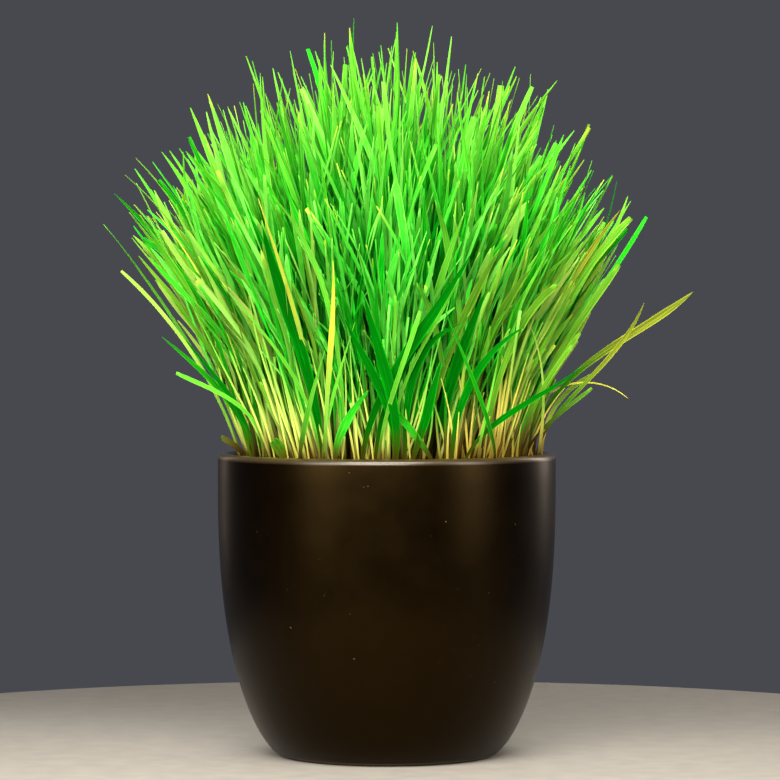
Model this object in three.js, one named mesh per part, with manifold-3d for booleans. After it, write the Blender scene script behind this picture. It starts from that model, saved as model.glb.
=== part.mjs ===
// Young wheatgrass growing in a round glazed pot. Millimetres, +Z up.
// The origin is on the pot's axis, in the plane that the foot ring stands on.
import * as THREE from 'three';
import * as BufferGeometryUtils from 'three/addons/utils/BufferGeometryUtils.js';
import Module from 'manifold-3d';

const wasm = await Module();
wasm.setup();

const GAP = 0.3;                // clearance between neighbouring pieces

// Pot
const POT_HEIGHT = 121;
const POT_RADIUS = 67.6;        // outside, where the wall is straight
const BELLY_HEIGHT = 110;       // the wall curves outwards up to here
const BELLY_FULLNESS = 2.5;     // exponents of the belly's curve
const BELLY_FLARE = 0.65;
const WALL = 5;
const FLOOR = 7;                // thickness above the standing plane
const FOOT_RADIUS = 42;
const FOOT_WIDTH = 6;
const FOOT_RECESS = 1.5;        // hollow under the pot, inside the foot ring
const LIP_ROUND = 2.4;          // rounding of the lip, outside and inside
const POT_SEGMENTS = 32;
const BELLY_STEPS = 7;

// Soil and the sprouted seeds on it
const SEED_TOP = 118.5;
const SEED_THICKNESS = 3;
const INNER_RADIUS = POT_RADIUS - WALL;

// Tufts of wheat plants
const TUFTS = 42;
const TUFT_FIELD_RADIUS = 54;   // the tufts' crowns are spread over this disc
const BLADES_PER_TUFT = 4;
const BLADE_OFFSET = 4;         // from the middle of the tuft, at the seed layer
const BLADE_HALF_WIDTH = 2.6;
const BLADE_KEEL = 1;           // depth of the keel along a blade's back
const BLADE_SIDES = 3;          // two flanks that meet in the keel, and a flat face
const BLADE_SPANS = 4;
const CROWN_RADIUS = 5.4;       // the joined stem bases
const CROWN_HEIGHT = 1.5;        // above the seeds
const ROOT_RADIUS = 3;          // end of the root plug
const ROOT_DEPTH = 15;
const CROWN_SIDES = 6;
const GOLDEN_ANGLE = Math.PI * (3 - Math.sqrt(5));
const SEED = 22;                // of the blades' random lengths and turns

// Domed outline of the clump, and how the blades fan out inside it
const GRASS_TOP = 295;
const CLUMP_RADIUS = 137;
const FAN_LEAN = 0.8;
const FAN_BEND = 1.57;
const SHORTEST_BLADE = 0.84;    // share of the way to the outline

// Long shoots that lean out past the clump: direction seen from above, reach, tip height, width
const STRAY_SHOOTS = [
  { direction: -0.12, reach: 117, top: 185, halfWidth: 3.4 },
  { direction: 0.22, reach: 103, top: 179, halfWidth: 2.4 },
  { direction: 3.14, reach: 113, top: 211, halfWidth: 2.6 },
  { direction: 2.95, reach: 99, top: 182, halfWidth: 2.2 },
  { direction: 3.36, reach: 90, top: 166, halfWidth: 2.2 },
];

const glaze = new THREE.MeshStandardMaterial({ color: 0x1e1408, roughness: 0.35 });
const earth = new THREE.MeshStandardMaterial({ color: 0x3a2113, roughness: 0.95 });
const kernels = new THREE.MeshStandardMaterial({ color: 0x9c7a3a, roughness: 0.7 });
const grass = new THREE.MeshStandardMaterial({ color: 0x4fae2c, roughness: 0.5, flatShading: true });

function named(name, geometry, material) {
  const mesh = new THREE.Mesh(geometry, material);
  mesh.name = name;
  return mesh;
}

// A closed geometry as a manifold solid: shared vertices are merged and collapsed triangles dropped.
function toSolid(geometry) {
  const bare = new THREE.BufferGeometry();
  bare.setAttribute('position', geometry.attributes.position);
  bare.setIndex(geometry.index);
  const merged = BufferGeometryUtils.mergeVertices(bare, 1e-4);
  const index = merged.index.array;
  const triVerts = [];
  for (let i = 0; i < index.length; i += 3) {
    const [a, b, c] = [index[i], index[i + 1], index[i + 2]];
    if (a !== b && b !== c && c !== a) triVerts.push(a, b, c);
  }
  return new wasm.Manifold(new wasm.Mesh({
    numProp: 3,
    vertProperties: Float32Array.from(merged.attributes.position.array),
    triVerts: Uint32Array.from(triVerts),
  }));
}

function toGeometry(solid) {
  const mesh = solid.getMesh();
  const geometry = new THREE.BufferGeometry();
  geometry.setAttribute('position', new THREE.BufferAttribute(mesh.vertProperties, 3));
  geometry.setIndex(new THREE.BufferAttribute(mesh.triVerts, 1));
  geometry.computeVertexNormals();
  return geometry;
}

// A profile of (radius, height) points turned about the Z axis.
function turned(profile) {
  return new THREE.LatheGeometry(profile, POT_SEGMENTS).rotateX(Math.PI / 2);
}

// Outside radius of the pot's wall at a height.
function wallRadius(z) {
  const rise = Math.min(z / BELLY_HEIGHT, 1);
  const fullness = (1 - (1 - rise) ** BELLY_FULLNESS) ** BELLY_FLARE;
  return FOOT_RADIUS + (POT_RADIUS - FOOT_RADIUS) * fullness;
}

// Heights on the belly between two limits, closer together towards the foot where it bends most.
function bellyHeights(from, to) {
  const heights = [];
  for (let i = 0; i <= BELLY_STEPS; i++) {
    heights.push(from + (to - from) * (i / BELLY_STEPS) ** 2);
  }
  return heights;
}

function innerWall(from, clearance) {
  return bellyHeights(from, BELLY_HEIGHT)
    .map((z) => new THREE.Vector2(wallRadius(z) - WALL - clearance, z));
}

function arc(radius, height, round, fromAngle, toAngle, steps) {
  const points = [];
  for (let i = 0; i <= steps; i++) {
    const angle = fromAngle + (toAngle - fromAngle) * (i / steps);
    points.push(new THREE.Vector2(radius + round * Math.cos(angle), height + round * Math.sin(angle)));
  }
  return points;
}

function potGeometry() {
  const lipHeight = POT_HEIGHT - LIP_ROUND;
  return turned([
    new THREE.Vector2(0, FOOT_RECESS),
    new THREE.Vector2(FOOT_RADIUS - FOOT_WIDTH - FOOT_RECESS, FOOT_RECESS),
    new THREE.Vector2(FOOT_RADIUS - FOOT_WIDTH, 0),
    ...bellyHeights(0, BELLY_HEIGHT).map((z) => new THREE.Vector2(wallRadius(z), z)),
    ...arc(POT_RADIUS - LIP_ROUND, lipHeight, LIP_ROUND, 0, Math.PI / 2, 3),
    ...arc(INNER_RADIUS + LIP_ROUND, lipHeight, LIP_ROUND, Math.PI / 2, Math.PI, 3),
    ...innerWall(FLOOR, 0).reverse(),
    new THREE.Vector2(0, FLOOR),
  ]);
}

function soilGeometry() {
  const top = SEED_TOP - SEED_THICKNESS;
  return turned([
    new THREE.Vector2(0, FLOOR + GAP),
    ...innerWall(FLOOR + GAP, GAP),
    new THREE.Vector2(INNER_RADIUS - GAP, top),
    new THREE.Vector2(0, top),
  ]);
}

function seedLayerGeometry() {
  const bottom = SEED_TOP - SEED_THICKNESS + GAP;
  const edge = INNER_RADIUS - GAP;
  return turned([
    new THREE.Vector2(0, bottom),
    new THREE.Vector2(edge, bottom),
    new THREE.Vector2(edge, SEED_TOP),
    new THREE.Vector2(0, SEED_TOP),
  ]);
}

// Middles of the tufts on a golden-angle spiral, which spaces them evenly.
function tuftCentre(number) {
  const radius = TUFT_FIELD_RADIUS * Math.sqrt((number + 0.5) / TUFTS);
  const angle = number * GOLDEN_ANGLE;
  return new THREE.Vector2(radius * Math.cos(angle), radius * Math.sin(angle));
}

// The joined roots and stem bases of a tuft, or, with a clearance, the socket that they fill.
function rootPlug(centre, clearance) {
  const top = SEED_TOP + CROWN_HEIGHT;
  const bottom = SEED_TOP - ROOT_DEPTH - clearance;
  const plug = new THREE.CylinderGeometry(
    CROWN_RADIUS + clearance, ROOT_RADIUS + clearance, top - bottom, CROWN_SIDES);
  plug.rotateX(Math.PI / 2).translate(centre.x, centre.y, (top + bottom) / 2);
  return toSolid(plug);
}

// Where a blade that starts at `base` has got to at a height. All blades follow this one
// spreading map, so they fan out without crossing.
function fanOut(base, z) {
  const rise = (z - SEED_TOP) / (GRASS_TOP - SEED_TOP);
  const spread = 1 + FAN_LEAN * rise + FAN_BEND * rise ** 2;
  return new THREE.Vector3(base.x * spread, base.y * spread, z);
}

// Height at which that blade meets the domed outline of the clump, found by halving.
function outlineHeight(base) {
  let [low, high] = [SEED_TOP, GRASS_TOP];
  while (high - low > 0.1) {
    const z = (low + high) / 2;
    const at = fanOut(base, z);
    const outwards = Math.hypot(at.x, at.y) / CLUMP_RADIUS;
    const upwards = (z - SEED_TOP) / (GRASS_TOP - SEED_TOP);
    if (outwards ** 2 + upwards ** 2 < 1) low = z;
    else high = z;
  }
  return low;
}

// A leaf blade: a thin keeled solid along centreAt(share of its length), with level sections
// turned so that the keel points to `facing`. It widens above its base and runs out to a point.
function blade(centreAt, facing, halfWidth) {
  const geometry = new THREE.CylinderGeometry(1, 1, 1, BLADE_SIDES, BLADE_SPANS);
  const corners = geometry.attributes.position;
  const cornerReach = Math.sin(2 * Math.PI / BLADE_SIDES);
  for (let i = 0; i < corners.count; i++) {
    const share = corners.getY(i) + 0.5;
    const taper = (1 - share) * (0.5 + 2.7 * share);
    const across = corners.getX(i) / cornerReach * halfWidth * taper;
    const through = corners.getZ(i) * BLADE_KEEL * (1 - share);
    const centre = centreAt(share);
    corners.setXYZ(
      i,
      centre.x - across * Math.sin(facing) + through * Math.cos(facing),
      centre.y + across * Math.cos(facing) + through * Math.sin(facing),
      centre.z,
    );
  }
  return toSolid(geometry);
}

function fannedBlade(base, length, facing) {
  const tip = THREE.MathUtils.lerp(SEED_TOP, outlineHeight(base), length);
  const centreAt = (share) => fanOut(base, THREE.MathUtils.lerp(SEED_TOP, tip, share));
  return blade(centreAt, facing, BLADE_HALF_WIDTH);
}

// A long shoot that bows outwards from its tuft to its own tip.
function strayBlade(centre, stray) {
  const foot = new THREE.Vector3(centre.x, centre.y, SEED_TOP);
  const tip = new THREE.Vector3(
    stray.reach * Math.cos(stray.direction), stray.reach * Math.sin(stray.direction), stray.top);
  const knee = foot.clone().lerp(tip, 0.45);
  knee.z += (tip.z - foot.z) * 0.1;
  const bow = new THREE.QuadraticBezierCurve3(foot, knee, tip);
  return blade((share) => bow.getPoint(share), stray.direction, stray.halfWidth);
}

// The stray shoots that grow from the tuft nearest to the pot's edge in their direction.
function straysOf(number) {
  return STRAY_SHOOTS.filter(({ direction }) => {
    const outwards = new THREE.Vector2(Math.cos(direction), Math.sin(direction));
    const reaches = Array.from({ length: TUFTS }, (_, i) => tuftCentre(i).dot(outwards));
    return reaches.indexOf(Math.max(...reaches)) === number;
  });
}

function tuftGeometry(number) {
  const centre = tuftCentre(number);
  let tuft = rootPlug(centre, 0);
  for (let i = 0; i < BLADES_PER_TUFT; i++) {
    const around = number * GOLDEN_ANGLE + (i + 0.5) * (2 * Math.PI / BLADES_PER_TUFT);
    const base = new THREE.Vector2(Math.cos(around), Math.sin(around))
      .multiplyScalar(BLADE_OFFSET).add(centre);
    const length = THREE.MathUtils.lerp(SHORTEST_BLADE, 1, THREE.MathUtils.seededRandom());
    const facing = base.angle() + THREE.MathUtils.lerp(-0.6, 0.6, THREE.MathUtils.seededRandom());
    tuft = tuft.add(fannedBlade(base, length, facing));
  }
  for (const stray of straysOf(number)) {
    tuft = tuft.add(strayBlade(centre, stray));
  }
  return toGeometry(tuft);
}

const pottedWheatgrass = new THREE.Group();
pottedWheatgrass.name = 'potted_wheatgrass';

THREE.MathUtils.seededRandom(SEED);
let soil = toSolid(soilGeometry());
let seedLayer = toSolid(seedLayerGeometry());
for (let number = 0; number < TUFTS; number++) {
  const socket = rootPlug(tuftCentre(number), GAP);
  soil = soil.subtract(socket);
  seedLayer = seedLayer.subtract(socket);
  const label = String(number + 1).padStart(2, '0');
  pottedWheatgrass.add(named(`wheat_tuft_${label}`, tuftGeometry(number), grass));
}
pottedWheatgrass.add(named('pot', potGeometry(), glaze));
pottedWheatgrass.add(named('soil', toGeometry(soil), earth));
pottedWheatgrass.add(named('seed_layer', toGeometry(seedLayer), kernels));

export default pottedWheatgrass;
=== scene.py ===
import math

import bpy
import numpy as np
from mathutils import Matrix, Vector


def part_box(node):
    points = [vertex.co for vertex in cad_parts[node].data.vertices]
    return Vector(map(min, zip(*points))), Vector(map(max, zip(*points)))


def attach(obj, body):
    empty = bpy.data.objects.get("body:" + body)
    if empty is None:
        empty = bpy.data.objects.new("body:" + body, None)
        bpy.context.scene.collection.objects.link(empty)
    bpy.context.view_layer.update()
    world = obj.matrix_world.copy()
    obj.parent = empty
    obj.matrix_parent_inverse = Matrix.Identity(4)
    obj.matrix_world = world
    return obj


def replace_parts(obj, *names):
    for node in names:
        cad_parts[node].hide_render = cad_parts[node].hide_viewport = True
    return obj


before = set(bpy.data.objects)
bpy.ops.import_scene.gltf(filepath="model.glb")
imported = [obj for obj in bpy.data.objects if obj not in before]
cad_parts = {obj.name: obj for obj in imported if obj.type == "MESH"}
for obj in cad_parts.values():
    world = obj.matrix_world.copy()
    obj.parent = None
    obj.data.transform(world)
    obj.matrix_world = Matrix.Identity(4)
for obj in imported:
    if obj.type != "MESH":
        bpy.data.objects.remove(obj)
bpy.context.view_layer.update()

# Looks of a pot of young wheatgrass. Metres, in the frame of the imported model: the pot's axis is Z,
# its foot stands at z = 0, and the front view looks along +Y.

MM = 0.001
rng = np.random.default_rng(4319)

# Photograph: 780 pixels wide, taken from far away, a little above the rim
CAMERA_DISTANCE = 1.6
CAMERA_HEIGHT = 0.187
AIM = Vector((0.0013, 0, 0.146))
LENS = 184.6  # millimetres
SENSOR = 36  # millimetres
FRAME_PIXELS = 780
FLOOR_RADIUS = 0.3
FLOOR_THICKNESS = 8 * MM
FLOOR_DROP = 0.1 * MM  # below the pot's foot
FLOOR_SEGMENTS = 96

# Pot, with the curve of its wall
POT_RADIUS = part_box("pot")[1].x
POT_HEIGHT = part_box("pot")[1].z
BELLY_HEIGHT = 110 * MM  # the wall curves outwards up to here
BELLY_FULLNESS = 2.5
BELLY_FLARE = 0.65
WALL = 5 * MM
POT_FLOOR = 7 * MM
FOOT_RADIUS = 42 * MM
FOOT_WIDTH = 6 * MM
FOOT_RECESS = 1.5 * MM
FOOT_ROUND = 0.8 * MM
LIP_ROUND = 2.4 * MM
INNER_RADIUS = POT_RADIUS - WALL
POT_SEGMENTS = 144

# Soil and seeds
SOIL_SEGMENTS = 96
SOIL_RINGS = 45  # on its crumbly top
CRUMB_HEIGHT = 0.5 * MM
KERNEL_RADIUS = 59 * MM  # no kernel's middle is farther from the axis
EXTRA_KERNELS = 260  # scattered over a square, of which the corners are left out

# Grass
TUFT_NODES = sorted(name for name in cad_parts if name.startswith("wheat_tuft_"))
SEED_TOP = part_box("seed_layer")[1].z
GRASS_RISE = 177 * MM  # from the seeds to the top of the clump's domed outline
CLUMP_RADIUS = 126 * MM  # of the outline, which is part of an ellipsoid
CLUMP_SHIFT = -3 * MM  # of the outline's middle, to the left
SIDE_WAIST = -3 * MM  # what the clump's sides are inside the field at its foot,
SIDE_SLOPE = 0.42  # how much they spread as they rise,
SIDE_FLARE = 1.5  # how much more they do so higher up (1 / m)
SIDE_SHIFT = -0.06  # and how they lean to the left
SEEDLINGS_PER_TUFT = 24
TUFT_RADIUS = 8.2 * MM
FIELD_RADIUS = 59.5 * MM  # the outermost seedlings
FRONT_RADIUS = 0.96 * FIELD_RADIUS  # landmarks' feet are moved inside it, forwards or backwards
ROOT_DEPTH = 2 * MM  # of the feet of all stems, below the tops of the seeds
BARE_STEM_SHARE = 0.3  # of the seedlings that have a bare stem too
BARE_STEM_ASIDE = 1.5 * MM  # from a seedling's foot to that of its bare stem
GOLDEN_ANGLE = math.pi * (3 - math.sqrt(5))
STEM_LEAN = 0.34  # outward slope of the outermost stems
LEAF_LEAN = 0.55  # what their leaves add to it
FLATTEST = 1.15  # slope that no growth exceeds
LEAF_THICKNESS = 0.13 * MM
STEM_STEPS = 8
LEAF_STEPS = 14
LANDMARK_STEPS = 22

# Looks of the leaves and stems that stand where the photograph has them
LOOKS = {  # tone, warmth, dryness, height of the pale foot in millimetres
    "dark": (-0.18, 0, 0, 4), "green": (0, 0.25, 0, 4), "bright": (0.25, 0.1, 0, 8),
    "lime": (0.42, 0.45, 0, 12), "olive": (0.15, 1, 0, 25), "stray": (-0.02, 1, 0.75, 25),
    "yellow": (0.7, 0.9, 0, 25), "amber": (0.6, 0.7, 0.75, 14), "dry": (1, 1, 1, 25),
    "cream": (1, 0.2, 0, 62),
}

# Leaves that stand out in the front view. Each has its pixels in the photograph from foot to tip (the
# foot is under the rim), the depths (y) of its foot and tip and its width in millimetres, a look, and
# where along it it is widest. Its tip is cut blunt where "cut" follows.
LANDMARKS = {
    "right stray": ([(534, 460), (547, 405), (585, 368), (625, 339), (665, 311), (694, 292)],
        (0, -15), 2.9, "stray", 0.85),
    "right stray, inner": ([(538, 460), (553, 415), (590, 384), (611, 355), (631, 322), (646, 304)],
        (-12, -24), 1.7, "stray", 0.8),
    "dried curl": ([(536, 460), (548, 396), (568, 382), (593, 384), (615, 390), (628, 398)],
        (-4, -8), 0.8, "dry", 0.4),
    "right stub": ([(541, 460), (560, 400), (592, 375)], (8, 4), 1.7, "yellow", 0.6, "cut"),
    "right low": ([(532, 460), (560, 413), (575, 401), (592, 388)], (-26, -36), 1.4, "olive", 0.6, "cut"),
    "right edge stub": ([(530, 460), (545, 390), (580, 333)], (-20, -34), 1.8, "olive", 0.8, "cut"),
    "right inner stub": ([(520, 460), (541, 392), (573, 345)], (-36, -52), 1.6, "olive", 0.8, "cut"),
    "right fringe leaf": ([(512, 460), (548, 370), (590, 308), (617, 262), (647, 217)],
        (-22, -24), 1.7, "bright", 0.75, "cut"),
    "right fringe blade": ([(508, 460), (538, 370), (574, 299), (599, 252), (631, 201)],
        (-24, -28), 1.6, "lime", 0.75),
    "right fringe, broad": ([(504, 460), (534, 370), (572, 293), (597, 256), (631, 218)],
        (-30, -36), 2.8, "olive", 0.8, "cut"),
    "right fringe, gold": ([(500, 460), (528, 370), (562, 297), (594, 247), (620, 210)],
        (-30, -38), 2.2, "stray", 0.8),
    "right fringe, stub": ([(514, 460), (546, 378), (582, 318), (619, 265)],
        (-24, -30), 2.4, "olive", 0.8, "cut"),
    "right fringe, thin": ([(506, 460), (548, 360), (588, 276), (603, 232), (617, 181)],
        (-20, -22), 0.8, "dark", 0.6),
    "right upper blade": ([(500, 460), (528, 360), (564, 268), (590, 218), (612, 176)],
        (-28, -34), 1.9, "lime", 0.8, "cut"),
    "right upper leaf": ([(496, 460), (522, 360), (552, 272), (577, 230), (599, 185)],
        (-30, -36), 1.2, "green", 0.75),
    "right upper, inner": ([(490, 460), (512, 360), (540, 270), (563, 228), (585, 181)],
        (-32, -40), 1.3, "green", 0.75),
    "tallest": ([(358, 460), (355, 330), (353, 200), (352, 100), (354, 18)],
        (-26, -20), 1.1, "green", 0.6),
    "top left": ([(350, 460), (346, 330), (338, 200), (328, 114), (307, 49)],
        (-26, -24), 2.0, "bright", 0.8, "cut"),
    "upper left": ([(310, 460), (290, 330), (272, 210), (263, 122), (260, 73)],
        (-30, -30), 1.8, "lime", 0.75),
    "top middle": ([(380, 460), (380, 330), (380, 200), (387, 75), (398, 33)],
        (-26, -22), 1.2, "lime", 0.6),
    "top right": ([(440, 460), (462, 330), (490, 210), (513, 128), (533, 87)],
        (-30, -30), 2.2, "lime", 0.8, "cut"),
    "low crossing": ([(462, 460), (486, 430), (523, 407), (558, 382), (584, 366)],
        (-52, -66), 2.3, "dark", 0.5),
    "left tip": ([(243, 460), (222, 400), (180, 335), (150, 285), (134, 256), (102, 225)],
        (-8, -20), 2.2, "lime", 0.75),
    "left upper tip": ([(250, 460), (222, 345), (167, 247), (138, 220), (115, 193)],
        (5, 10), 3.0, "green", 0.8),
    "left yellow tip": ([(240, 460), (208, 380), (167, 319), (147, 296), (121, 271)],
        (-14, -24), 1.3, "yellow", 0.8, "cut"),
    "left fringe, thin": ([(262, 460), (236, 345), (205, 255), (178, 212), (136, 158)],
        (-10, -16), 0.9, "olive", 0.7),
    "left fringe, hair": ([(258, 460), (228, 340), (196, 262), (174, 228), (125, 175)],
        (-14, -20), 0.5, "olive", 0.6),
    "left fringe, green": ([(266, 460), (240, 345), (212, 262), (190, 224), (159, 180)],
        (-20, -26), 2.3, "green", 0.85, "cut"),
    "left fringe, lime": ([(270, 460), (246, 340), (216, 250), (194, 196), (161, 152)],
        (-22, -30), 2.2, "lime", 0.85),
    "left fringe, blunt": ([(254, 460), (226, 365), (196, 300), (181, 268), (143, 239)],
        (-22, -26), 1.8, "green", 0.85, "cut"),
    "left fringe, amber": ([(262, 460), (234, 352), (206, 288), (190, 258), (156, 212)],
        (-26, -32), 0.8, "amber", 0.6),
    "left fringe, upper": ([(276, 460), (252, 330), (228, 240), (207, 178), (189, 137)],
        (-24, -32), 2.0, "green", 0.85, "cut"),
    "left low stray": ([(248, 460), (228, 400), (195, 365), (162, 337)], (-24, -34), 2.2, "green", 0.6),
    "left low stray, inner": ([(252, 460), (236, 405), (207, 366), (186, 340)],
        (-28, -38), 1.8, "dark", 0.6),
    "left lowest stray": ([(262, 460), (234, 402), (205, 386), (176, 373)],
        (-34, -44), 1.5, "lime", 0.7, "cut"),
    "rim stub": ([(290, 462), (281, 450), (273, 440)], (-40, -42), 4.2, "green", 0.6, "cut"),
    "left rim stub": ([(246, 462), (236, 446), (221, 437)], (-20, -24), 2.6, "olive", 0.6, "cut"),
    "amber, left": ([(322, 460), (306, 354), (291, 304), (272, 237), (258, 199)],
        (-45, -103), 1.4, "amber", 0.6),
    "amber, middle": ([(327, 460), (327, 400), (331, 340), (333, 308), (333, 260)],
        (-58, -92), 2.0, "amber", 0.66),
    "broad left": ([(322, 460), (302, 354), (284, 300), (272, 262), (262, 226)],
        (-50, -98), 5.2, "dark", 0.7),
    "pale left": ([(320, 460), (300, 390), (281, 352), (258, 329), (222, 285)],
        (-55, -78), 1.3, "lime", 0.5),
    "upper left crossing": ([(345, 460), (341, 380), (325, 290), (300, 235), (272, 195)],
        (-50, -104), 1.8, "lime", 0.7),
    "low green": ([(336, 462), (341, 433), (354, 409), (369, 390)], (-58, -68), 3.3, "bright", 0.6),
    "low hanging": ([(437, 462), (417, 437), (397, 413)], (-58, -66), 2.8, "bright", 0.7, "cut"),
    "lime left": ([(298, 460), (306, 418), (325, 350)], (-57, -73), 2.5, "lime", 0.5),
    "dark middle": ([(408, 460), (421, 433), (429, 405), (441, 362)], (-57, -72), 3.6, "dark", 0.6),
    "dark left-middle": ([(376, 460), (386, 406), (403, 370), (424, 336)], (-56, -79), 2.8, "dark", 0.6),
    "great crossing": ([(362, 460), (376, 405), (401, 364), (440, 302), (470, 256)],
        (-56, -93), 4.4, "dark", 0.65),
    "crossing edge": ([(396, 460), (412, 367), (441, 313), (459, 278)], (-57, -96), 1.2, "lime", 0.7),
    "lime middle": ([(377, 460), (388, 410), (400, 372), (420, 311)],
        (-58, -87), 1.6, "lime", 0.6, "cut"),
    "upper lime": ([(408, 460), (424, 345), (440, 282), (453, 246), (465, 211)],
        (-34, -94), 2.6, "lime", 0.72),
    "upper lime tip": ([(452, 460), (456, 330), (450, 262), (443, 225), (435, 200)],
        (-34, -94), 2.4, "lime", 0.8),
    "small lime tip": ([(446, 460), (444, 380), (436, 330), (429, 309), (416, 282)],
        (-30, -93), 2.0, "lime", 0.85),
    "olive right": ([(424, 460), (442, 375), (466, 311), (482, 282), (500, 248)],
        (-34, -92), 3.0, "olive", 0.75),
    "broad olive": ([(470, 460), (488, 345), (511, 296), (531, 268)], (-30, -80), 3.4, "olive", 0.75),
    "blunt olive": ([(484, 460), (510, 350), (539, 301), (557, 285)],
        (-42, -68), 2.6, "olive", 0.8, "cut"),
    "thin crossing": ([(494, 460), (485, 413), (466, 362), (444, 308)], (-56, -86), 1.7, "green", 0.5),
    "thin lime stem": ([(477, 460), (483, 430), (493, 385), (501, 340)], (-56, -66), 1.0, "lime", 0.4),
    "dark falling": ([(394, 460), (393, 404), (378, 345), (364, 296)], (-58, -90), 4.4, "dark", 0.6),
    "dark falling, left": ([(392, 460), (388, 408), (366, 360), (345, 320)],
        (-58, -85), 3.4, "dark", 0.6),
    "dark flat": ([(404, 460), (408, 400), (424, 352), (460, 324)], (-56, -80), 3.2, "dark", 0.65),
    "flat, right": ([(452, 460), (460, 410), (480, 368), (524, 327)], (-50, -72), 3.0, "dark", 0.6),
    "dark right": ([(440, 460), (452, 380), (470, 330), (486, 290)], (-34, -84), 4.4, "dark", 0.6),
    "thin right stem": ([(538, 460), (543, 410), (541, 365), (529, 323)], (-30, -50), 1.3, "yellow", 0.4),
    "pale upright stem": ([(388, 460), (391, 365), (395, 330), (395, 296)],
        (-58, -90), 1.5, "lime", 0.5, "cut"),
    "pale crossing": ([(322, 460), (332, 402), (343, 362), (355, 322)], (-58, -84), 1.5, "lime", 0.5),
}

# Thin pale stems at the front of the field: their pixels, from foot to tip
PALE_STEM_WIDTH = 0.7  # millimetres
PALE_STEM_LEAN = 12  # millimetres forwards
PALE_STEMS = [
    [(356, 460), (346, 415), (330, 362)], [(341, 460), (346, 410), (343, 340)],
    [(360, 460), (354, 410), (350, 345)], [(374, 460), (368, 420), (357, 370)],
    [(411, 460), (407, 425), (402, 380)], [(455, 460), (449, 412), (441, 378)],
    [(468, 460), (464, 410), (458, 370), (451, 330)], [(277, 460), (264, 420), (243, 368)],
    [(290, 460), (276, 400), (260, 340)], [(302, 460), (290, 410), (277, 355)],
    [(310, 460), (300, 400), (288, 335)], [(334, 460), (322, 400), (308, 340)],
    [(494, 460), (499, 425), (507, 380)], [(468, 460), (471, 430), (475, 395)],
    [(513, 460), (512, 415), (510, 365)], [(455, 460), (457, 438), (459, 412)],
    [(447, 460), (448, 436), (450, 411)], [(495, 460), (497, 442), (499, 421)],
    [(502, 460), (504, 440), (506, 418)], [(516, 460), (518, 444), (521, 424)],
    [(526, 460), (540, 425), (552, 404), (565, 388)], [(483, 460), (486, 440), (490, 416)],
]


def smooth(x):
    """Smooth step from 0 to 1 while x goes from 0 to 1."""
    x = np.clip(x, 0, 1)
    return x * x * (3 - 2 * x)


def unit(vectors):
    return vectors / np.linalg.norm(vectors, axis=-1, keepdims=True)


def photo_points(pixels, depths):
    """Points that show at pixels of the photograph, at depths (y) in metres."""
    eye = np.array([AIM.x, -CAMERA_DISTANCE, CAMERA_HEIGHT])
    ahead = unit(np.array(AIM) - eye)
    right = np.array([1, 0, 0])
    above = np.cross(right, ahead)
    focal = LENS / SENSOR * FRAME_PIXELS
    offset = (np.array(pixels, float) - FRAME_PIXELS / 2) / focal
    rays = ahead + offset[:, :1] * right - offset[:, 1:] * above
    return eye + rays * ((depths - eye[1]) / rays[:, 1])[:, None]


# ------------------------ meshes

def add_object(name, data):
    """A new object in the scene."""
    thing = bpy.data.objects.new(name, data)
    bpy.context.scene.collection.objects.link(thing)
    return thing


def add_piece(name, mesh, material):
    """A piece of the model, riding on its one body."""
    mesh.materials.append(material)
    piece = add_object(name, mesh)
    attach(piece, "root")
    return piece


def turned_mesh(name, profile, segments):
    """A closed mesh of a (radius, height) profile turned about Z. It starts and ends on the axis."""
    inner = np.array(profile[1:-1])
    angles = np.linspace(0, 2 * math.pi, segments, endpoint=False)
    rings = np.stack([
        np.outer(inner[:, 0], np.cos(angles)),
        np.outer(inner[:, 0], np.sin(angles)),
        np.repeat(inner[:, 1:], segments, axis=1),
    ], axis=-1).reshape(-1, 3)
    vertices = [tuple(v) for v in rings] + [(0, 0, profile[0][1]), (0, 0, profile[-1][1])]
    first_pole, last_pole = len(rings), len(rings) + 1
    last_ring = len(rings) - segments
    faces = []
    for i in range(segments):
        j = (i + 1) % segments
        faces.append((first_pole, j, i))
        faces.append((last_pole, last_ring + i, last_ring + j))
        for ring in range(0, last_ring, segments):
            faces.append((ring + i, ring + j, ring + segments + j, ring + segments + i))
    mesh = bpy.data.meshes.new(name)
    mesh.from_pydata(vertices, [], faces)
    mesh.shade_smooth()
    return mesh


# ------------------------ nodes of the materials

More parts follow.
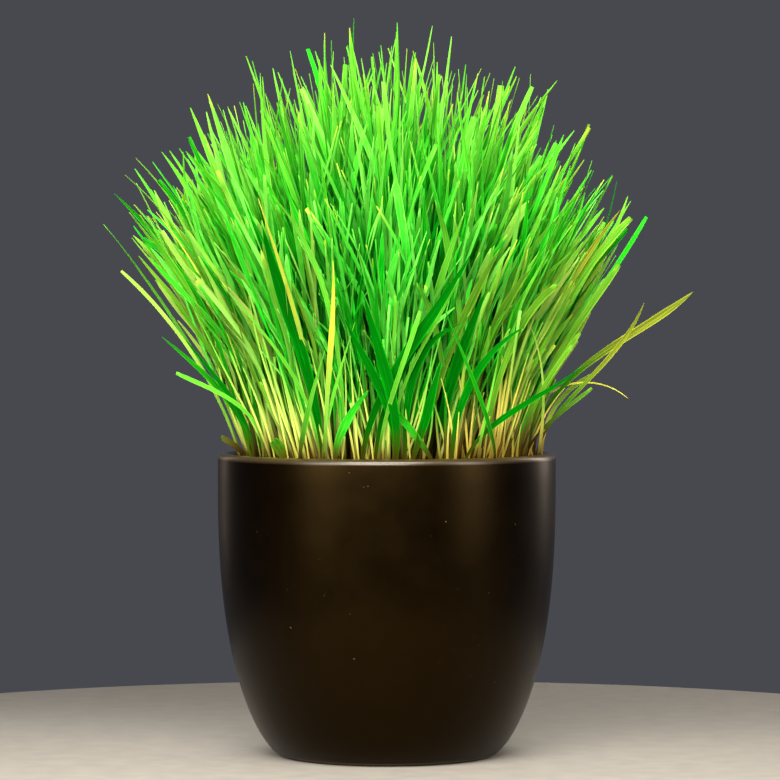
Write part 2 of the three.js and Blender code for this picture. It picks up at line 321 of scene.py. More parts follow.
class Nodes:
    """Short names for adding linked shader nodes to one new material."""

    def __init__(self, name):
        self.material = bpy.data.materials.new(name)
        self.material.use_nodes = True
        self.tree = self.material.node_tree
        self.tree.nodes.clear()

    def add(self, kind, inputs=None, **settings):
        node = self.tree.nodes.new(kind)
        for key, value in settings.items():
            setattr(node, key, value)
        for key, value in (inputs or {}).items():
            if isinstance(value, bpy.types.NodeSocket):
                self.tree.links.new(value, node.inputs[key])
            else:
                node.inputs[key].default_value = value
        return node

    def attribute(self, name):
        return self.add("ShaderNodeAttribute", attribute_name=name).outputs["Fac"]

    def position(self):
        """Object coordinates, in metres."""
        return self.add("ShaderNodeTexCoord").outputs["Object"]

    def height(self):
        return self.add("ShaderNodeSeparateXYZ", {0: self.position()}).outputs["Z"]

    def noise(self, vector, scale, detail=2.0, roughness=0.5):
        return self.add("ShaderNodeTexNoise", {
            "Vector": vector, "Scale": scale, "Detail": detail, "Roughness": roughness}).outputs["Fac"]

    def math(self, operation, a, b=0.0):
        return self.add("ShaderNodeMath", {0: a, 1: b}, operation=operation).outputs[0]

    def remap(self, value, low, high, to_low=0.0, to_high=1.0):
        return self.add("ShaderNodeMapRange", {
            "Value": value, "From Min": low, "From Max": high, "To Min": to_low, "To Max": to_high,
        }).outputs[0]

    def mix(self, share, a, b):
        """Colour a turning into b as share goes from 0 to 1."""
        node = self.add("ShaderNodeMix", data_type="RGBA")
        for socket, value in (("Factor_Float", share), ("A_Color", a), ("B_Color", b)):
            target = next(s for s in node.inputs if s.identifier == socket)
            if isinstance(value, bpy.types.NodeSocket):
                self.tree.links.new(value, target)
            else:
                target.default_value = value
        return next(s for s in node.outputs if s.identifier == "Result_Color")

    def ramp(self, value, stops):
        """Colour ramp from (place, colour) stops."""
        node = self.add("ShaderNodeValToRGB", {"Fac": value})
        elements = node.color_ramp.elements
        elements[0].position, elements[0].color = stops[0]
        elements[1].position, elements[1].color = stops[-1]
        for place, colour in stops[1:-1]:
            elements.new(place).color = colour
        return node.outputs["Color"]

    def combine(self, x, y, z):
        return self.add("ShaderNodeCombineXYZ", {"X": x, "Y": y, "Z": z}).outputs[0]

    def bump(self, height, distance, strength=1.0):
        return self.add("ShaderNodeBump", {
            "Height": height, "Distance": distance, "Strength": strength}).outputs[0]

    def finish(self, surface):
        self.add("ShaderNodeOutputMaterial", {"Surface": surface})
        return self.material


def rgb(red, green, blue):
    """Linear colour from the sRGB numbers 0 to 255."""
    shares = (red / 255, green / 255, blue / 255)
    linear = [((v + 0.055) / 1.055) ** 2.4 if v > 10 / 255 else v / 12.92 for v in shares]
    return (*linear, 1.0)


def blade_colour(n, lightness, depth):
    """Green to olive, with less olive deep inside the clump, as part of the painted shade there."""
    green = n.ramp(lightness, [
        (0.0, rgb(0, 100, 3)), (0.25, rgb(2, 162, 12)), (0.5, rgb(40, 194, 34)),
        (0.72, rgb(82, 208, 56)), (1.0, rgb(114, 216, 74))])
    olive = n.ramp(lightness, [
        (0.0, rgb(4, 112, 8)), (0.3, rgb(92, 150, 30)), (0.6, rgb(136, 172, 50)),
        (1.0, rgb(160, 188, 78))])
    # Painted shade: deep inside the clump the leaves lose their olive and stay pure green, as shaded leaves
    # look.
    warmth = n.math("MULTIPLY", n.attribute("warmth"), n.remap(depth, 0.0, 0.5, 1.0, 0.0))
    return n.mix(warmth, green, olive)


def foot_colour(n, greenness, tone):
    """Pale or golden at the seeds, turning green upwards, with painted shade, brown low down and dark green
    higher up, where the tone is low.
    """
    pale = n.ramp(greenness, [
        (0.0, rgb(206, 192, 74)), (0.25, rgb(218, 240, 108)), (0.5, rgb(176, 232, 86)),
        (0.75, rgb(124, 220, 52)), (1.0, rgb(60, 196, 30))])
    golden = n.ramp(greenness, [
        (0.0, rgb(188, 154, 44)), (0.3, rgb(232, 212, 98)), (0.6, rgb(204, 204, 76)),
        (1.0, rgb(112, 180, 38))])
    foot = n.mix(n.attribute("gold"), pale, golden)
    # Painted shade: stems of low tone are darkened as if they stood behind others, in their shadow.
    shade = n.mix(n.remap(greenness, 0.1, 0.6), rgb(60, 40, 8), rgb(6, 70, 4))
    return n.mix(n.remap(tone, 0.2, 0.8, 0.88, 0.0), foot, shade)


def grass_material():
    """Wheat stems and leaves, straw where dry, with painted shade that browns their feet near the seeds and
    darkens them deep inside the clump.
    """
    n = Nodes("wheat leaf")
    tone, greenness, depth = n.attribute("tone"), n.attribute("greenness"), n.attribute("depth")
    along, across = n.attribute("along"), n.attribute("across")

    streaks = n.noise(n.combine(n.math("MULTIPLY", across, 2.5), n.math("MULTIPLY", along, 5.0),
                                n.math("MULTIPLY", tone, 90.0)), 1.0, detail=3.0)
    edge = n.math("ABSOLUTE", across)
    veins = n.math("SINE", n.math("MULTIPLY", across, 20.0))
    midrib = n.remap(edge, 0.04, 0.16, 1.0, 0.0)
    lightness = tone
    # The depth term is painted light and shade: leaves are lighter on the outside of the clump and darker
    # deep inside it.
    for more in (n.remap(streaks, 0.3, 0.7, -0.15, 0.12), n.math("MULTIPLY", veins, 0.05),
                 n.math("MULTIPLY", midrib, 0.12), n.remap(edge, 0.6, 1.0, 0.0, 0.28),
                 n.remap(depth, 0.0, 0.6, 0.1, -0.3)):
        lightness = n.math("ADD", lightness, more)

    foot, blade = foot_colour(n, greenness, tone), blade_colour(n, lightness, depth)
    body = n.mix(n.remap(greenness, 0.5, 1.1), foot, blade)
    height = n.height()
    # Painted shade: the stems turn brown over their lowest 15 mm above the seeds, less so where their tone
    # is light.
    foot_painted_shade = n.math("MULTIPLY", n.remap(height, SEED_TOP, SEED_TOP + 15 * MM, 1.0, 0.0),
                    n.remap(tone, 0.6, 1.0, 1.0, 0.3))
    body = n.mix(foot_painted_shade, body, rgb(72, 44, 8))
    straw = n.ramp(lightness, [(0.0, rgb(98, 90, 18)), (0.8, rgb(212, 208, 64))])
    body = n.mix(n.attribute("dryness"), body, straw)
    # Painted shade: deep inside the clump the colour turns dark brown near the seeds and dark green above
    # them.
    above = n.remap(height, SEED_TOP + 12 * MM, SEED_TOP + 28 * MM)
    deep_painted_shade = n.mix(above, rgb(30, 22, 4), rgb(0, 108, 5))
    body = n.mix(n.remap(depth, 0.0, 0.8, 0.0, 0.85), body, deep_painted_shade)

    ridges = n.math("ADD", n.math("MULTIPLY", veins, 0.5), midrib)
    bump = n.bump(ridges, 0.06 * MM, 0.7)
    surface = n.add("ShaderNodeBsdfPrincipled", {
        "Base Color": body, "Roughness": n.remap(streaks, 0.3, 0.7, 0.46, 0.62), "Normal": bump,
        "IOR": 1.42, "Specular IOR Level": 0.04})
    glow = n.add("ShaderNodeBsdfTranslucent", {
        "Color": n.mix(0.1, body, rgb(90, 230, 10)), "Normal": bump})
    return n.finish(n.add("ShaderNodeMixShader", {
        0: 0.2, 1: surface.outputs[0], 2: glow.outputs[0]}).outputs[0])


def glaze_material():
    """Nearly black, brown where it breaks over the lip, bare clay at the foot, with specks of dust."""
    n = Nodes("dark satin glaze")
    place, height = n.position(), n.height()
    mottle = n.noise(place, 60.0, detail=4.0, roughness=0.6)
    brown = n.ramp(mottle, [(0.3, rgb(1, 0.3, 0)), (0.7, rgb(2.4, 0.8, 0))])
    foot = n.remap(height, 0.6 * MM, 1.4 * MM, 1.0, 0.0)
    brown = n.mix(foot, brown, rgb(92, 74, 56))
    lip = n.remap(height, POT_HEIGHT - 2.6 * MM, POT_HEIGHT - 1.2 * MM)
    brown = n.mix(lip, brown, rgb(44, 32, 14))
    dust = n.remap(n.noise(place, 900.0, detail=1.0), 0.8, 0.83)
    brown = n.mix(n.math("MULTIPLY", dust, 0.5), brown, rgb(120, 104, 84))
    roughness = n.remap(mottle, 0.3, 0.7, 0.30, 0.36)
    bump = n.bump(n.noise(place, 1500.0, detail=2.0), 0.02 * MM, 0.35)
    return n.finish(n.add("ShaderNodeBsdfPrincipled", {
        "Base Color": brown, "Roughness": roughness, "Normal": bump, "IOR": 1.5,
        "Specular IOR Level": 0.17, "Specular Tint": rgb(255, 200, 112),
        "Coat Weight": lip, "Coat Roughness": 0.3, "Coat IOR": 1.5}).outputs[0])


def soil_material():
    n = Nodes("potting soil")
    place = n.position()
    grain = n.noise(place, 500.0, detail=5.0, roughness=0.7)
    colour = n.ramp(grain, [(0.3, rgb(28, 14, 8)), (0.55, rgb(70, 38, 22)), (0.8, rgb(118, 74, 44))])
    return n.finish(n.add("ShaderNodeBsdfPrincipled", {
        "Base Color": colour, "Roughness": 0.95,
        "Normal": n.bump(grain, 0.8 * MM)}).outputs[0])


def kernel_material():
    n = Nodes("wheat kernel")
    tone = n.attribute("tone")
    grain = n.noise(n.position(), 700.0, detail=4.0)
    gold = n.ramp(n.math("ADD", tone, n.remap(grain, 0.3, 0.7, -0.2, 0.2)), [
        (0.0, rgb(96, 58, 24)), (0.5, rgb(168, 120, 54)), (1.0, rgb(214, 176, 104))])
    return n.finish(n.add("ShaderNodeBsdfPrincipled", {
        "Base Color": gold, "Roughness": 0.55, "Normal": n.bump(grain, 0.15 * MM, 0.6)}).outputs[0])


# ------------------------ pot

def wall_radius(z):
    """Outside radius of the pot's wall at a height."""
    rise = min(z / BELLY_HEIGHT, 1)
    fullness = (1 - (1 - rise) ** BELLY_FULLNESS) ** BELLY_FLARE
    return FOOT_RADIUS + (POT_RADIUS - FOOT_RADIUS) * fullness


def arc(radius, height, round_radius, start, end, steps):
    """Points on a quarter or other arc of a profile, between two angles in degrees."""
    angles = np.radians(np.linspace(start, end, steps))
    return [(radius + round_radius * math.cos(a), height + round_radius * math.sin(a)) for a in angles]


def make_pot():
    """One shell, from the middle of its underside round the lip to the middle of its inside."""
    lip = POT_HEIGHT - LIP_ROUND
    outside = [FOOT_ROUND + (BELLY_HEIGHT - FOOT_ROUND) * t ** 2 for t in np.linspace(0, 1, 40)[1:]]
    inside = [POT_FLOOR + (BELLY_HEIGHT - POT_FLOOR) * t ** 2 for t in np.linspace(0, 1, 26)]
    profile = [
        (0, FOOT_RECESS),
        (FOOT_RADIUS - FOOT_WIDTH - FOOT_RECESS, FOOT_RECESS),
        (FOOT_RADIUS - FOOT_WIDTH, 0),
        *arc(FOOT_RADIUS - FOOT_ROUND, FOOT_ROUND, FOOT_ROUND, -90, -10, 5),
        *[(wall_radius(z), z) for z in outside],
        *arc(POT_RADIUS - LIP_ROUND, lip, LIP_ROUND, 0, 90, 9),
        *arc(INNER_RADIUS + LIP_ROUND, lip, LIP_ROUND, 90, 180, 9),
        *[(wall_radius(z) - WALL, z) for z in reversed(inside)],
        (0, POT_FLOOR),
    ]
    mesh = turned_mesh("glazed_pot", profile, POT_SEGMENTS)
    pot = add_piece("glazed_pot", mesh, glaze_material())
    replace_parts(pot, "pot")


# ------------------------ soil and seeds

def make_soil():
    """The filled inside of the pot, with a crumbly top."""
    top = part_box("soil")[1].z
    bottom = POT_FLOOR + 0.4 * MM
    edge = INNER_RADIUS - 0.3 * MM
    profile = [(0, bottom), (wall_radius(POT_FLOOR) - WALL - 0.6 * MM, bottom)]
    profile += [(wall_radius(z) - WALL - 0.4 * MM, z) for z in np.linspace(12 * MM, BELLY_HEIGHT, 12)]
    profile += [(edge * r, top) for r in np.linspace(0, 1, SOIL_RINGS + 1)[::-1]]
    mesh = turned_mesh("potting_soil", profile, SOIL_SEGMENTS)
    for vertex in mesh.vertices:
        if vertex.co.z > top - 0.1 * MM:
            x, y = vertex.co.x / MM, vertex.co.y / MM
            crumbs = math.sin(1.9 * x) * math.sin(2.3 * y) + math.sin(0.9 * x + 1.3 * y) * math.sin(1.1 * y)
            vertex.co.z += CRUMB_HEIGHT * crumbs + rng.uniform(-0.4, 0.4) * MM
    soil = add_piece("potting_soil", mesh, soil_material())
    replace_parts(soil, "soil")


def kernel_shape():
    """Unit wheat kernel along X: (vertices, faces), pointed at its ends and creased underneath."""
    rings, sides = 8, 9
    vertices, faces = [(-1, 0, 0)], []
    for i in range(1, rings):
        slope = math.pi * i / rings
        for j in range(sides):
            turn = 2 * math.pi * j / sides
            crease = 1 - 0.3 * math.exp(-((turn - math.pi * 1.5) / 0.45) ** 2)
            radius = math.sin(slope) ** 0.85 * crease
            vertices.append((-math.cos(slope), radius * math.cos(turn), radius * math.sin(turn)))
    vertices.append((1, 0, 0))
    last = len(vertices) - 1
    for j in range(sides):
        k = (j + 1) % sides
        faces.append((0, 1 + k, 1 + j))
        faces.append((last, last - sides + j, last - sides + k))
        for i in range(rings - 2):
            a = 1 + i * sides
            faces.append((a + j, a + k, a + sides + k, a + sides + j))
    return np.array(vertices), faces


def make_kernels(bases):
    """Sprouted kernels on the soil, one by the foot of each seedling and more between them."""
    shape, shape_faces = kernel_shape()
    extra = rng.uniform(-1, 1, (EXTRA_KERNELS, 2)) * FIELD_RADIUS
    extra = extra[np.linalg.norm(extra, axis=1) < FIELD_RADIUS]
    beside = bases + rng.normal(0, 1.6 * MM, bases.shape)
    places = np.concatenate([beside, extra])
    places *= np.minimum(1, KERNEL_RADIUS / np.linalg.norm(places, axis=1))[:, None]
    vertices, faces, tones = [], [], []
    for place in places:
        length, width = rng.uniform(3.0, 3.6) * MM, rng.uniform(1.4, 1.8) * MM
        turn, tilt = rng.uniform(0, 2 * math.pi), rng.normal(0, 0.35)
        along = np.array([math.cos(turn) * math.cos(tilt), math.sin(turn) * math.cos(tilt), math.sin(tilt)])
        across = np.array([-math.sin(turn), math.cos(turn), 0])
        up = np.cross(along, across)
        centre = np.array([*place, SEED_TOP - rng.uniform(0.4, 1.6) * MM])
        corners = (centre + length * shape[:, :1] * along + width * shape[:, 1:2] * across
                   + width * shape[:, 2:] * up)
        faces += [tuple(len(vertices) + i for i in face) for face in shape_faces]
        vertices += [tuple(c) for c in corners]
        tones += [rng.uniform(0.2, 0.9)] * len(shape)
    mesh = bpy.data.meshes.new("sprouted_kernels")
    mesh.from_pydata(vertices, [], faces)
    mesh.shade_smooth()
    mesh.attributes.new("tone", "FLOAT", "POINT").data.foreach_set("value", tones)
    kernels = add_piece("sprouted_kernels", mesh, kernel_material())
    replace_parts(kernels, "seed_layer")


# ------------------------ grass

LEAF_SECTION = np.array([(-1, 0), (0, 1), (1, 0), (0, -1)], float)  # edge, back, edge, face
STEM_SECTION = np.array([(math.cos(a), math.sin(a)) for a in np.arange(6) * math.pi / 3])


class Strands:
    """A batch of closed tapering strands, such as leaves, with the numbers that their colours need."""

    def __init__(self, tuft, points, facing, section, half_width, half_depth, fold, traits):
        tangent = unit(np.gradient(points, axis=1))
        look = np.stack([np.cos(facing), np.sin(facing), 0 * facing], axis=-1)
        across = unit(np.cross(look, tangent))
        face = np.cross(tangent, across)
        sideways = half_width[..., None] * section[:, 0]
        folded = (fold * half_width)[..., None] * np.abs(section[:, 0])
        outwards = half_depth[..., None] * section[:, 1] + folded
        self.tuft = tuft
        self.corners = (points[:, :, None, :] + sideways[..., None] * across[:, :, None, :]
                        + outwards[..., None] * face[:, :, None, :])
        shape = self.corners.shape[:3]
        self.traits = {}
        for name, value in traits.items():
            value = np.asarray(value, float)
            value = value.reshape(value.shape + (1,) * (3 - value.ndim))
            self.traits[name] = np.broadcast_to(value, shape)

    def surface(self, rows, first_vertex, first_strip, strips):
        """Vertices, faces and UVs of some strands. Each strand fills an upright strip of the UV square."""
        corners = self.corners[rows]
        count, steps, sides = corners.shape[:3]
        number = first_vertex + np.arange(count * steps * sides).reshape(count, steps, sides)
        following = np.roll(number, -1, axis=2)
        quads = np.stack([number[:, :-1], following[:, :-1], following[:, 1:], number[:, 1:]], axis=-1)
        faces = quads.reshape(-1, 4).tolist() + number[:, 0, ::-1].tolist() + number[:, -1].tolist()

        strip = (first_strip + np.arange(count))[:, None, None]
        u = (strip + np.linspace(0.04, 0.96, sides + 1)) / strips + np.zeros((count, steps, sides + 1))
        v = np.linspace(0.01, 0.99, steps)[None, :, None] + 0 * u
        uv = np.stack([u, v], axis=-1)
        quad_uv = np.stack([uv[:, :-1, :-1], uv[:, :-1, 1:], uv[:, 1:, 1:], uv[:, 1:, :-1]], axis=3)
        uvs = [quad_uv.reshape(-1, 2), uv[:, 0, -2::-1].reshape(-1, 2), uv[:, -1, :-1].reshape(-1, 2)]
        return corners.reshape(-1, 3), faces, np.concatenate(uvs)


def make_tuft(node, batches, material):
    """One piece with all the stems and leaves of a tuft, in place of its CAD node."""
    tuft = TUFT_NODES.index(node)
    chosen = [np.flatnonzero(batch.tuft == tuft) for batch in batches]
    strips = sum(len(rows) for rows in chosen)
    vertices, faces, uvs, strip = np.zeros((0, 3)), [], [], 0
    for batch, rows in zip(batches, chosen):
        corners, more_faces, more_uvs = batch.surface(rows, len(vertices), strip, strips)
        vertices = np.concatenate([vertices, corners])
        faces += more_faces
        uvs.append(more_uvs)
        strip += len(rows)
    name = node.replace("wheat_tuft", "grass_tuft")
    mesh = bpy.data.meshes.new(name)
    mesh.from_pydata(vertices, [], faces)
    mesh.shade_smooth()
    layer = mesh.uv_layers.new(name="OFBake")
    layer.uv.foreach_set("vector", np.concatenate(uvs).astype(np.float32).ravel())
    for trait in batches[0].traits:
        values = np.concatenate([batch.traits[trait][rows].ravel() for batch, rows in zip(batches, chosen)])
        attribute = mesh.attributes.new(trait, "FLOAT", "POINT")
        attribute.data.foreach_set("value", values.astype(np.float32))
        if trait == "across":
            mark_leaf_edges(mesh, values)
    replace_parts(add_piece(name, mesh, material), node)


def mark_leaf_edges(mesh, across):
    """Keeps the shading of a leaf's two faces apart: its edges run where |across| is 1."""
    ends = np.empty(len(mesh.edges) * 2, np.int32)
    mesh.edges.foreach_get("vertices", ends)
    sharp = across[ends[0::2]] * across[ends[1::2]] == 1
    mesh.attributes.new("sharp_edge", "BOOLEAN", "EDGE").data.foreach_set("value", sharp)


def into_field(place, radius):
    """Moves a place in the pot forwards or backwards until it is in a circle, or as near as it gets."""
    most = math.sqrt(radius ** 2 - min(place[0] ** 2, radius ** 2))
    return place[0], max(-most, min(most, place[1]))


def seedling_bases():
    """Feet of the seedlings, clustered round the crown of each CAD tuft: (places, tuft numbers)."""
    places, tufts = [], []
    for tuft, node in enumerate(TUFT_NODES):
        root_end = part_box(node)[0].z + MM
        root = np.array([v.co[:2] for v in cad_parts[node].data.vertices if v.co.z < root_end])
        number = np.arange(SEEDLINGS_PER_TUFT)
        radius = TUFT_RADIUS * np.sqrt((number + 0.5) / SEEDLINGS_PER_TUFT)
        angle = number * GOLDEN_ANGLE + rng.uniform(0, 2 * math.pi)
        around = np.stack([np.cos(angle), np.sin(angle)], axis=-1) * radius[:, None]
        places.append(root.mean(axis=0) + around + rng.normal(0, 0.9 * MM, around.shape))
        tufts.append(np.full(SEEDLINGS_PER_TUFT, tuft))
    places = np.concatenate(places)
    distance = np.linalg.norm(places, axis=1)
    squeezed = np.where(distance > 0.93 * FIELD_RADIUS, 0.93 * FIELD_RADIUS
                        + 0.07 * FIELD_RADIUS * np.tanh((distance / FIELD_RADIUS - 0.93) / 0.1), distance)
    return places * (squeezed / distance)[:, None], np.concatenate(tufts)


def heading(slopes):
    """Unit vectors that climb with the slopes (dx/dz, dy/dz), the flattest of them made steeper."""
    steepness = np.linalg.norm(slopes, axis=1, keepdims=True) + 1e-9
    slopes = slopes / steepness * FLATTEST * np.tanh(steepness / FLATTEST)
    return unit(np.concatenate([slopes, np.ones((len(slopes), 1))], axis=1))


def growth(first, last, turned_by, bow, sag, steps):
    """Points of growth of length 1 from the origin. It sets off along `first`, heads along `last` from
    the share turned_by of its length on, and bends by the slope `bow` and down by `sag` until its end."""
    share = np.linspace(0, 1, steps)[None, :, None]
    way = first[:, None] + (last - first)[:, None] * smooth(share / turned_by)
    bend = np.concatenate([bow, -sag[:, None]], axis=1)
    way = unit(way + bend[:, None] * share ** 1.5)
    middle = (way[:, 1:] + way[:, :-1]) / 2 / (steps - 1)
    return np.concatenate([0 * way[:, :1], np.cumsum(middle, axis=1)], axis=1)


def length_to_outline(start, way, fullness):
    """How many times the vector `way` fits between start and the outline of the clump, which is
    shrunk by fullness."""
    size = np.array([CLUMP_RADIUS, CLUMP_RADIUS, GRASS_RISE]) * fullness[:, None]
    start = (start - [CLUMP_SHIFT, 0, SEED_TOP]) / size
    way = way / size
    a, b, c = (way * way).sum(axis=1), (start * way).sum(axis=1), (start * start).sum(axis=1) - 1
    return (-b + np.sqrt(np.maximum(b * b - a * c, 0))) / a


def held_in(points):
    """Growth bent inwards where it would spread past the sides of the clump."""
    rise = points[..., 2] - SEED_TOP
    out = points[..., :2] - np.stack([SIDE_SHIFT * rise, 0 * rise], axis=-1)
    most = FIELD_RADIUS + SIDE_WAIST + SIDE_SLOPE * rise + SIDE_FLARE * rise ** 2
    share = np.linalg.norm(out, axis=-1) / most
    held = np.where(share > 0.85, 0.85 + 0.15 * np.tanh((share - 0.85) / 0.15), share) / share
    return np.concatenate([points[..., :2] + (held - 1)[..., None] * out, points[..., 2:]], axis=-1)


def inner_depth(points):
    """0 for points on the outside of the clump to 1 deep inside it, which sets how much shade the grass
    material paints there.
    """
    rise = np.clip((points[..., 2] - SEED_TOP) / GRASS_RISE, 0, 1)
    out = np.linalg.norm(points[..., :2] - [CLUMP_SHIFT * 0.6, 0], axis=-1)
    side = FIELD_RADIUS * (1 + 0.9 * rise + 0.7 * rise ** 2)
    dome = np.sqrt((out / CLUMP_RADIUS) ** 2 + rise ** 2)
    return 1 - smooth(np.maximum(out / side - 0.45, dome - 0.39) / 0.5)


class Seedlings:
    """All the wheat plants: where they stand and how their stems grow."""

    def __init__(self):
        self.base, self.tuft = seedling_bases()
        count = len(self.base)
        outward = self.base / FIELD_RADIUS
        self.outward = outward * np.linalg.norm(outward, axis=1, keepdims=True) ** 0.3
        self.slope = STEM_LEAN * self.outward + rng.normal(0, 0.12, (count, 2))
        self.heading = heading(self.slope)
        self.stem_length = rng.uniform(26, 78, count) * MM
        x = self.base[:, 0] / FIELD_RADIUS
        self.pale_height = rng.uniform(24, 64, count) * (0.7 + 0.6 * np.abs(x)) * MM
        self.foot = np.concatenate([self.base, np.full((count, 1), SEED_TOP - ROOT_DEPTH)], axis=1)
        self.tone = rng.uniform(0, 1, count)
        likely = 0.08 + 0.75 * smooth((x - 0.1) / 0.6) + 0.7 * smooth((-x - 0.2) / 0.5)
        self.warmth = rng.uniform(0.25, 1, count) * (rng.uniform(0, 1, count) < likely)
        self.gold = smooth((x - 0.1) / 0.5) * rng.uniform(0.4, 1, count) + rng.uniform(0, 0.2, count)

    def greenness(self, rows, points):
        """0 at the seeds to 1 where the pale foot of each plant has turned green."""
        return (points[..., 2] - SEED_TOP) / self.pale_height[rows][:, None]


def stem_batch(seedlings):
    """The pale sheaths that carry the leaves."""
    everyone = np.arange(len(seedlings.base))
    count = len(everyone)
    share = np.linspace(0, 1, STEM_STEPS)[None, :]
    last = heading(seedlings.slope + rng.normal(0, 0.07, (count, 2)))
    path = growth(seedlings.heading, last, 0.9, 0 * seedlings.slope, 0 * seedlings.tone, STEM_STEPS)
    seedlings.stem = held_in(seedlings.foot[:, None] + path * seedlings.stem_length[:, None, None])
    seedlings.heading = last
    radius = rng.uniform(0.55, 0.85, count)[:, None] * MM * (1 - 0.2 * share)
    return Strands(seedlings.tuft, seedlings.stem, 0 * radius, STEM_SECTION, radius, radius, 0 * radius, {
        "tone": seedlings.tone, "warmth": seedlings.warmth, "gold": seedlings.gold,
        "along": share, "across": [0],
        "greenness": seedlings.greenness(everyone, seedlings.stem), "dryness": [0],
        "depth": inner_depth(seedlings.stem)})


def bare_stem_batch(seedlings):
    """Long thin pale stems that show between the leaves."""
    everyone = np.arange(len(seedlings.base))
    rows = everyone[rng.uniform(0, 1, len(everyone)) < BARE_STEM_SHARE]
    count = len(rows)
    share = np.linspace(0, 1, LEAF_STEPS)[None, :]
    first = heading(seedlings.slope[rows] + rng.normal(0, 0.22, (count, 2)))
    last = heading(seedlings.slope[rows] + rng.normal(0, 0.22, (count, 2)))
    path = growth(first, last, 0.9, np.zeros((count, 2)), np.zeros(count), LEAF_STEPS)
    foot = seedlings.foot[rows] + [[BARE_STEM_ASIDE, 0, 0]]
    points = held_in(foot[:, None] + path * rng.uniform(35, 95, count)[:, None, None] * MM)
    radius = rng.uniform(0.4, 0.62, count)[:, None] * MM * (1 - 0.95 * share ** 2)
    return Strands(seedlings.tuft[rows], points, 0 * radius, STEM_SECTION, radius, radius, 0 * radius, {
        "tone": rng.uniform(0.75, 1, count), "warmth": seedlings.warmth[rows], "gold": seedlings.gold[rows],
        "along": share, "across": [0],
        "greenness": 0.9 * seedlings.greenness(rows, points), "dryness": [0],
        "depth": inner_depth(points)})


def leaf_points(seedlings, rows, where, aside, fullness, sag, longest):
    """Paths of leaves, which leave the stem at a share of its length."""
    count = len(rows)
    place = where * (STEM_STEPS - 1)
    step = np.minimum(place.astype(int), STEM_STEPS - 2)
    stem, part = seedlings.stem[rows], (place - step)[:, None]
    start = stem[range(count), step] * (1 - part) + stem[range(count), step + 1] * part
    last = heading(seedlings.slope[rows] + LEAF_LEAN * seedlings.outward[rows] + aside)
    bow = rng.normal(0, 0.12, (count, 2))
    path = growth(seedlings.heading[rows], last, 0.6, bow, sag, LEAF_STEPS)
    length = np.minimum(length_to_outline(start, path[:, -1], fullness), longest)
    return held_in(start[:, None] + path * length[:, None, None])


def leaf_half_width(width, share, rise):
    """Half the width along leaves, which swell, then end in a point or a blunt cut."""
    count = len(width)
    cut = rng.uniform(0, 1, (count, 1)) < 0.05
    point = np.clip((1 - share) / rng.uniform(0.15, 0.6, (count, 1)), 0, 1) ** 0.8
    point = np.where(cut, 1 - 0.25 * share, point)
    swell = 0.35 + 0.65 * smooth(share / rng.uniform(0.3, 0.7, (count, 1)))
    return 0.5 * width[:, None] * swell * point * (0.55 + 0.45 * smooth(rise / 0.5)) + 0.2 * MM


def leaf_colours(seedlings, rows, points, share, rise):
    """What a leaf's colours need: warmer and less varied towards the top, with painted light low down and
    painted shade at the top, the sides and the right.
    """
    count = len(rows)
    tone = (0.3 * seedlings.tone[rows] + 0.7 * rng.uniform(0, 1, count) - 0.5)[:, None]
    beside = smooth((np.abs(points[..., 0]) / FIELD_RADIUS - 0.4) / 0.7)
    # Painted light and shade: lighter low down, darker towards the top, the sides and the right of the
    # clump.
    tone = 0.79 - 0.43 * rise + tone * (1.7 - 1.35 * rise) - 0.12 * beside
    tone = tone - 0.1 * smooth((seedlings.base[rows, :1] / FIELD_RADIUS - 0.1) / 0.5)
    warmth = seedlings.warmth[rows][:, None] * (1 - 0.75 * smooth((rise - 0.35) / 0.4))
    warmth = warmth + 0.5 * smooth((rise - 0.4) / 0.5) + 0.22 * beside * (1 - smooth((rise - 0.3) / 0.3))
    dry_from = 1 - rng.uniform(0, 0.12, (count, 1)) * (rng.uniform(0, 1, (count, 1)) < 0.25)
    return {
        "tone": tone, "warmth": warmth, "gold": seedlings.gold[rows],
        "along": share, "across": LEAF_SECTION[None, None, :, 0],
        "greenness": 3 * seedlings.greenness(rows, points),
        "dryness": 0.6 * smooth((share - dry_from) / 0.05), "depth": inner_depth(points)}


def leaf_batch(seedlings, rows, where, aside, fullness, width, sag, longest=1.0):
    """A leaf on each of some seedlings, from a share of the stem's length, with a slope that differs by
    `aside` from the general fan, to a share of the way to the clump's outline."""
    count = len(rows)
    share = np.linspace(0, 1, LEAF_STEPS)[None, :]
    points = leaf_points(seedlings, rows, where, aside, fullness, sag, longest)
    rise = (points[..., 2] - SEED_TOP) / GRASS_RISE
    half_width = leaf_half_width(width, share, rise)
    facing = rng.uniform(0, 2 * math.pi, (count, 1)) + rng.normal(0, 0.8, (count, 1)) * share
    fold = rng.uniform(0.15, 0.5, (count, 1)) * (1 - 0.5 * share) + 0.5 * (1 - smooth(share / 0.15))
    return Strands(seedlings.tuft[rows], points, facing, LEAF_SECTION, half_width,
                   LEAF_THICKNESS + 0 * share, fold, leaf_colours(seedlings, rows, points, share, rise))


def sideways(count, least, most):
    """Slopes of least to most in all directions."""
    turn = rng.uniform(0, 2 * math.pi, count)
    return np.stack([np.cos(turn), np.sin(turn)], axis=1) * rng.uniform(least, most, (count, 1))


